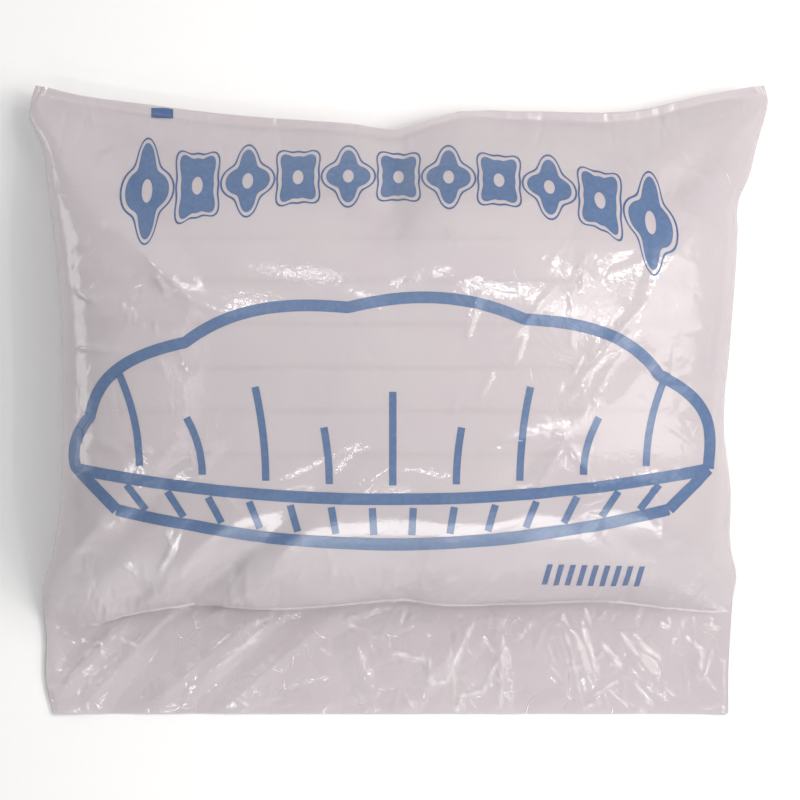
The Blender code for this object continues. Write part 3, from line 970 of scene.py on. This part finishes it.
@dataclass
class FilmBag:
    """The bag: its smooth shape, the creases that the photograph shows, and the finer crinkles round them."""

    shape: BagShape = field(default_factory=BagShape)
    # Steps across the front and the back, then rows down the fill and the skirt
    steps: tuple[int, ...] = (378, 30, 166, 76)
    weld_depth: float = 0.5 * MM
    weld_width: float = 1.4 * MM
    fold_fade: float = 14
    crease_reach: float = 4 * MM
    crease_damping: tuple[float, float] = (0.6, 0.9)
    deepest: float = 0.8
    seed: int = 5
    # How the narrow creases are painted near-white: partly stress whitening, partly a painted highlight for
    # their glints.
    white: float = 0.85
    white_drawn: float = 0.16
    white_height: float = 0.5
    white_swing: float = 0.4
    white_waves: float = 9.0
    white_narrowing: float = 1.2
    white_power: float = 1.3
    held_gap: float = 0.5 * MM
    free_gap: float = 3 * MM
    back_rise: float = 0.3 * MM
    crumple_least: float = 0.22
    crumple_fill: float = 0.6
    crumple_seal: float = 45 * MM
    crumple_sides: float = 0.62
    grid: FilmGrid = field(init=False)
    stress_white_and_glint: Array = field(init=False)

    def __post_init__(self) -> None:
        """Lays out the grid."""
        self.grid = FilmGrid(self.shape, *self.steps)
        self.stress_white_and_glint = np.zeros(self.grid.points.shape[:2])

    def strokes_height(self, x: Array, y: Array) -> Pair:
        """How high all creases stand at places, and how white the tips of the narrow ones are painted.

        The white is partly the film's stress whitening and partly a painted highlight for the glints that
        those creases catch. It is patchy along a crease, as a sine, and goes as a power of the crease's own
        profile.
        """
        profile, random = CreaseProfile(), np.random.default_rng(self.seed)
        height, white = np.zeros(x.shape), np.zeros(x.shape)
        drawn = [stroke for crinkles in CRINKLES for stroke in crinkles.draw(random)]
        for number, stroke in enumerate((*SHARP, *drawn)):
            along, beside = stroke.measure(x, y)
            wide = stroke.wide * MM
            height += stroke.kind.value * stroke.high * MM * profile.height(along, beside, wide)
            # Painted highlight and stress whitening on the narrow creases' tips.
            if wide < profile.narrow:
                tip = profile.height(along, self.white_narrowing * beside, wide) ** self.white_power
                share = self.white if number < len(SHARP) else self.white_drawn
                share *= min(1.0, stroke.high / self.white_height)
                patches = 1 - self.white_swing + self.white_swing * np.sin(self.white_waves * along + number)
                white = np.maximum(white, share * patches * tip)
        return height, white

    def press_creases(self) -> None:
        """Raises the creases along the front film's normal, and sinks the weld beside the sealed edge.

        A furrow goes no deeper than most of the way to the back film and nearly stops at the crease where
        the skirt begins, and all fade towards the side folds.
        """
        shape, grid = self.shape, self.grid
        front, normals = grid.front(grid.points), grid.front(grid.normals())
        x, y = front[..., 0].copy(), front[..., 1].copy()
        height, grid.front(self.stress_white_and_glint)[:] = self.strokes_height(x, y)
        across = shape.across_at(x, y)
        height *= np.minimum(1.0, self.fold_fade * (1 - np.abs(across)))
        at_crease = np.exp(-((y - shape.crease_y(across)) / self.crease_reach) ** 2)
        of_ridge, of_furrow = self.crease_damping
        height *= 1 - np.where(height < 0, of_furrow, of_ridge) * at_crease
        front += normals * np.maximum(height, -self.deepest * shape.gap(across, y))[..., np.newaxis]
        y = grid.points[..., 1]
        from_seal = shape.seal_y(shape.across_at(grid.points[..., 0], y)) - y
        sunk = np.exp(-((from_seal - shape.seal_band) / self.weld_width) ** 2)
        grid.points[..., 2] -= self.weld_depth * sunk

    def take_buckles(self, moved: Array) -> None:
        """Moves the film by the simulation's buckles, with neither layer going through the other or the floor.

        Where the layers lie close, the front only rises and the back only sinks, and the back under the fill
        hardly rises.
        """
        places = self.grid.points
        gap = self.shape.gap(self.shape.across_at(places[..., 0], places[..., 1]), places[..., 1])
        thin = 1 - eased((gap - self.held_gap) / self.free_gap)
        seam = [self.grid.front_steps + 1]
        front, back = np.split(moved[..., 2], seam, axis=1)
        thin_front, thin_back = np.split(thin, seam, axis=1)
        front += thin_front * (np.maximum(front, 0.0) - front)
        back += thin_back * (np.minimum(back, 0.0) - back)
        np.minimum(back, self.back_rise, out=back)
        self.grid.points += moved

    def crumple(self, x: Array, y: Array) -> Array:
        """How sharply the film is crumpled, 0 to 1: most in the skirt, then near the seal and the sides."""
        across = self.shape.across_at(x, y)
        skirt = eased((self.shape.crease_y(across) - y) / self.crease_reach)
        seal = 1 - eased((self.shape.seal_y(across) - y) / self.crumple_seal)
        sides = eased((np.abs(across) - self.crumple_sides) / (1 - self.crumple_sides))
        most = np.maximum(skirt, self.crumple_fill * np.maximum(seal, sides))
        return self.crumple_least + (1 - self.crumple_least) * most

    def build(self, finish: PolytheneFilm) -> bpy.types.Object:
        """Makes the film's mesh and dresses it."""
        self.take_buckles(FilmSimulation(self.shape).buckles(self.grid))
        self.press_creases()
        points = self.grid.points
        points[..., 2] = np.maximum(points[..., 2], self.shape.half_gap / 2)
        piece = new_piece("film_tube", points.reshape(-1, 3), tube_faces(*points.shape[:2]))
        piece.data.materials.append(finish.build())
        note_values(piece, "crumple", self.crumple(*points.reshape(-1, 3)[:, :2].T))
        note_values(piece, "stress_white_and_glint", self.stress_white_and_glint)
        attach(piece, "root")
        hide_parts("film_bag")
        LOG.info("film: %d faces", len(piece.data.polygons))
        return piece


def ribbon(columns: Array, rows: Array, width: float, lanes: int) -> Pair:
    """Widens a line of pixels to a ribbon, by stepping to both sides along its normal.

    Args:
        columns: the line's pixels across.
        rows: the line's pixels down.
        width: the ribbon's width in pixels.
        lanes: how many faces lie across it.

    Returns:
        Pixels across and down, one row for each place of the line.
    """
    east, down = np.gradient(columns), np.gradient(rows)
    length = np.maximum(np.hypot(east, down), 1e-9)
    side = np.linspace(-width / 2, width / 2, lanes + 1)
    return (columns[:, np.newaxis] - np.outer(down / length, side),
            rows[:, np.newaxis] + np.outer(east / length, side))


def evenly(columns: Array, rows: Array, step: float) -> Pair:
    """Places at even steps of about a length in pixels along a line of pixels."""
    passed = np.concatenate(([0.0], np.cumsum(np.hypot(np.diff(columns), np.diff(rows)))))
    at = np.linspace(0.0, passed[-1], max(2, round(passed[-1] / step)) + 1)
    return np.interp(at, passed, columns), np.interp(at, passed, rows)


class Motif(Enum):
    """The shapes that take turns in the arched row, as their outlines' first and second waves."""

    FLOWER = (0.80, 0.18, 0.00)
    STAR = (0.84, -0.16, 0.05)

    def radius(self, angle: Array) -> Array:
        """The outline's distance from the middle: a mean, a wave of four and a wave of eight."""
        mean, four, eight = self.value
        return mean + four * np.cos(4 * angle) + eight * np.cos(8 * angle)


# Pixel column in the photograph, then the rows where the arched band's top and base lie
ARCH = (
    (125, 140, 252), (200, 150, 226), (300, 150, 209), (400, 152, 205),
    (470, 152, 209), (540, 160, 216), (600, 170, 238), (672, 182, 292),
)
TOP, BASE = 1, 2


@dataclass(frozen=True)
class CapFigure:
    """A gathered cap in plain line, in pixels: a scalloped crown over a band that narrows to its foot.

    sags are how far the band's top and its foot hang down in the middle. Lines are pixels across and down.
    """

    middle: float = 393
    half_top: float = 311
    half_foot: float = 272
    top: float = 468
    foot: float = 508
    sags: tuple[float, float] = (30, 34)
    crown: float = 160
    crown_fullness: float = 0.9
    scallops: float = 5.5
    scallop_depth: float = 0.06
    gathers: int = 9
    gather_reach: float = 0.8
    gather_gap: float = 14
    gather_rises: tuple[float, float] = (92, 56)
    gather_lean: float = 26
    pleats: int = 14
    pleat_reach: float = 0.87
    pleat_half_top: float = 308
    pleat_ends: tuple[float, float] = (0.2, 0.8)

    def band(self, share: Array, half: float, row: float, sag: float) -> Pair:
        """A parabola that hangs between two ends of the band."""
        return self.middle + half * share, row + sag * (1 - share**2)

    def outlines(self) -> list[Pair]:
        """The crown, whose half ellipse swells in scallops, and the band's four edges."""
        turn = np.linspace(math.pi, 0, 400)
        swell = 1 + self.scallop_depth * np.abs(np.sin(self.scallops * turn)) * np.sqrt(np.sin(turn))
        crown = (self.middle + self.half_top * swell * np.cos(turn),
                 self.top - self.crown * swell * np.sin(turn) ** self.crown_fullness)
        share = np.linspace(-1, 1, 200)
        ends = [(np.array([self.middle + side * self.half_top, self.middle + side * self.half_foot]),
                 np.array([self.top, self.foot])) for side in (-1, 1)]
        return [crown, self.band(share, self.half_top, self.top, self.sags[0]),
                self.band(share, self.half_foot, self.foot, self.sags[1]), *ends]

    def folds(self) -> list[Pair]:
        """Short lines: the crown's gathers, long and short by turns, and the pleats across the band."""
        lines, share = [], np.linspace(0, 1, 30)
        for i, across in enumerate(np.linspace(-self.gather_reach, self.gather_reach, self.gathers)):
            x, y = self.band(across, self.half_top, self.top, self.sags[0])
            rise = self.gather_rises[i % 2]
            lines.append((x + self.gather_lean * across * share**2, y - self.gather_gap - rise * share))
        start, end = self.pleat_ends
        for across in np.linspace(-self.pleat_reach, self.pleat_reach, self.pleats):
            top = self.band(across, self.pleat_half_top, self.top, self.sags[0])
            foot = self.band(across, self.half_foot, self.foot, self.sags[1])
            lines.append(tuple(a + (b - a) * (start + (end - start) * share) for a, b in zip(top, foot)))
        return lines


@dataclass
class Printing:
    """The bag's print: a row of flowers and stars, a cap in plain line, a row of bars and a register mark.

    Every shape is drawn in the photograph's pixels, as grids of places, and carried onto the film.
    """

    bag: FilmBag
    row_start: float = 125
    row_end: float = 672
    tiles: int = 11
    tile_fill: float = 0.45
    eye: float = 0.24
    gap: float = 3.6
    outline: float = 1.9
    stroke: float = 11.5
    fold_stroke: float = 0.62
    step: float = 2.4
    lift: float = 0.12 * MM
    bars: int = 9
    first_bar: tuple[float, float] = (541, 562)
    bar_pitch: tuple[float, float] = (11.5, 0.3)
    bar_size: tuple[float, float] = (5.5, 20)
    bar_slant: float = 5
    mark: tuple[tuple[float, float], tuple[float, float]] = ((151, 173), (107, 118))

    def carry(self, name: str, sheets: list[Pair], ink: bpy.types.Material) -> bpy.types.Object:
        """Makes one piece of many sheets of pixels, laid on the film.

        Args:
            name: the piece's name.
            sheets: pixels across and down, as grids.
            ink: its material.

        Returns:
            The piece.
        """
        points, faces, first = [], [], 0
        for columns, rows in sheets:
            points.append(self.bag.grid.look_up(*PHOTO.plan(columns, rows), self.lift).reshape(-1, 3))
            faces.append(grid_faces(*columns.shape)[:, ::-1] + first)
            first += len(points[-1])
        places = np.concatenate(points)
        piece = new_piece(name, places, np.concatenate(faces))
        piece.data.materials.append(ink)
        note_values(piece, "crumple", self.bag.crumple(*places[:, :2].T))
        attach(piece, "root")
        LOG.info("%s: %d faces", name, len(piece.data.polygons))
        return piece

    def motifs(self) -> tuple[list, list]:
        """The arched row: each motif's inked body, and the thin line that runs round it."""
        angle = np.linspace(0, 2 * math.pi, 73)
        width = (self.row_end - self.row_start) / self.tiles
        bodies, lines = [], []
        for i in range(self.tiles):
            middle = self.row_start + (i + 0.5) * width
            reach = (Motif.FLOWER if i % 2 == 0 else Motif.STAR).radius(angle)
            body = [self.arched(middle, width, angle, share * reach + (1 - share) * self.eye, 0)
                    for share in np.linspace(0, 1, 9)]
            edges = [self.arched(middle, width, angle, reach, grow)
                     for grow in (self.gap, self.gap + self.outline)]
            bodies.append(tuple(map(np.array, zip(*body))))
            lines.append(tuple(map(np.array, zip(*edges))))
        return bodies, lines

    def arched(self, middle: float, width: float, angle: Array, reach: Array, grow: float) -> Pair:
        """Pixels of places round a tile's middle, stretched to the arched band's height and then grown."""
        columns = middle + (width * self.tile_fill * reach + grow) * np.cos(angle)
        top, base = along_table(ARCH, TOP, columns), along_table(ARCH, BASE, columns)
        return columns, (top + base) / 2 - ((base - top) / 2 * reach + grow) * np.sin(angle)

    def bars_and_mark(self) -> list[Pair]:
        """The small row of slanted bars, and the plain mark near the sealed edge."""
        wide, high = self.bar_size
        columns, rows = np.meshgrid(np.linspace(0, wide, 4), np.linspace(0, high, 9))
        columns = columns + self.bar_slant * (high - rows) / high
        sheets = [(self.first_bar[0] + self.bar_pitch[0] * i + columns,
                   self.first_bar[1] + rows + self.bar_pitch[1] * i) for i in range(self.bars)]
        across, down = self.mark
        return sheets + [tuple(np.meshgrid(np.linspace(*across, 10), np.linspace(*down, 6)))]

    def build(self, blue: bpy.types.Material, dark: bpy.types.Material) -> None:
        """Prints everything: the wide areas in blue, the fine lines round the motifs in dark blue."""
        bodies, lines = self.motifs()
        self.carry("printed_motif_row", bodies, blue)
        self.carry("printed_motif_outlines", lines, dark)
        cap, fine = CapFigure(), self.stroke * self.fold_stroke
        figure = [ribbon(*evenly(*line, self.step), self.stroke, 5) for line in cap.outlines()]
        figure += [ribbon(*evenly(*line, self.step), fine, 3) for line in cap.folds()]
        self.carry("printed_cap_figure", figure, blue)
        self.carry("printed_bars_and_mark", self.bars_and_mark(), dark)


@dataclass
class FoldedCaps:
    """The caps: each a long strip of closely pleated nonwoven, pinched at both ends, piled in ten columns."""

    film: FilmGrid
    counts: tuple[int, ...] = (7, 10, 11, 12, 12, 11, 11, 11, 9, 6)
    width: float = 19.5 * MM
    pitch: float = 20.1 * MM
    first_middle: float = -75.75 * MM
    left_end: float = -143.0 * MM
    right_end: float = 138.8 * MM
    clear: float = 0.9 * MM
    least_height: float = 3.0 * MM
    rings: int = 46
    pleats: int = 4
    pleat_depth: float = 0.08
    pinch_length: float = 16 * MM
    pinched: float = 0.3
    pinched_height: float = 0.5
    trim: float = 3 * MM
    waves: tuple[float, float] = (40, 110)
    sway: float = 0.03
    width_share: float = 0.93
    height_share: float = 0.96
    seed: int = 17

    def section(self) -> Pair:
        """A strip's outline, anticlockwise: shares of its half width and half height, with pleated edges."""
        edge = np.linspace(-1, 1, 2 * self.pleats + 1)
        tuck = 1 - self.pleat_depth * (np.arange(len(edge)) % 2 == 0)
        flat, level = np.linspace(1, -1, 6)[1:-1], np.ones(4)
        return np.concatenate((tuck, flat, -tuck, -flat)), np.concatenate((edge, level, -edge, -level))

    def room(self, x: Array, middle: float) -> Pair:
        """The levels between which a column may lie at places along X: over the back, under the front film."""
        y = middle + self.width / 2 * np.linspace(-1, 1, 7)
        grid_x, grid_y = np.meshgrid(x, y, indexing="ij")
        shape = self.film.shape
        low = shape.back_z(shape.across_at(grid_x, grid_y), grid_y).max(axis=1) + self.clear
        high = self.film.look_up(grid_x, grid_y, 0.0)[..., 2].min(axis=1) - self.clear
        return low, np.maximum(high, low + self.least_height)

    def pile(self, number: int, random: np.random.Generator) -> Pair:
        """Places and faces of one column's strips.

        Each strip lies between two levels of the column, even shares of the room there, so that the pile
        follows the bag's own roundness. Both ends are pinched, on a share that eases to 1, and its middle
        and its width sway with sines along X.

        Args:
            number: the column's number, from 0 at the mouth.
            random: draws each strip's sway and ends.

        Returns:
            Places and faces.
        """
        middle, count = self.first_middle + number * self.pitch, self.counts[number]
        across, up = self.section()
        body = np.concatenate(([0.0], np.linspace(0, 1, self.rings), [1.0]))
        solid = np.ones(len(body))
        solid[[0, -1]] = 0.0
        tube = tube_faces(len(body), len(up))
        points, faces = [], []
        for level in range(count):
            trim = random.uniform(0, self.trim, 2)
            x = self.left_end + trim[0] + (self.right_end - self.left_end - trim.sum()) * body
            low, high = self.room(x, middle)
            from_end = np.minimum(x - x[0], x[-1] - x) / self.pinch_length
            pinch = self.pinched + (1 - self.pinched) * eased(from_end)
            wave, phase = random.uniform(*self.waves, 2), random.uniform(0, 2 * math.pi, 2)
            sway, swell = (self.sway * np.sin(w * x + p) for w, p in zip(wave, phase))
            half_width = self.width / 2 * (self.width_share + swell) * pinch
            flattened = self.height_share * (1 - self.pinched_height + self.pinched_height * pinch)
            half_height = (high - low) / (2 * count) * flattened
            level_z = low + (high - low) * (level + 0.5) / count
            y = middle + self.width / 2 * sway[:, None] + (half_width * solid)[:, None] * across
            z = level_z[:, None] + (half_height * solid)[:, None] * up
            points.append(np.stack((np.broadcast_to(x[:, None], y.shape), y, z), axis=-1).reshape(-1, 3))
            faces.append(tube + level * len(points[0]))
        return np.concatenate(points), np.concatenate(faces)

    def build(self, finish: bpy.types.Material) -> None:
        """Makes every column of caps as one piece."""
        random = np.random.default_rng(self.seed)
        for number in range(len(self.counts)):
            points, faces = self.pile(number, random)
            piece = new_piece(f"folded_caps_{number + 1:02d}", points, faces)
            piece.data.materials.append(finish)
            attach(piece, "root")
            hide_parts(f"caps_column_{number + 1:02d}")
            LOG.info("%s: %d caps, %d faces", piece.name, self.counts[number], len(piece.data.polygons))


def main() -> None:
    """Builds the studio, the film, its print and the caps."""
    logging.basicConfig(level=logging.INFO, format="%(message)s")
    Studio().build()
    bag = FilmBag()
    film = PolytheneFilm()
    bag.build(film)
    Printing(bag).build(
        FlexoInk("blue flexographic ink on polythene", ("5D7396", "667CA0")).build(film),
        FlexoInk("dark blue flexographic ink on polythene", ("50678F", "5A7097")).build(film),
    )
    FoldedCaps(bag.grid).build(CapNonwoven().build())


if __name__ == "__main__":
    main()
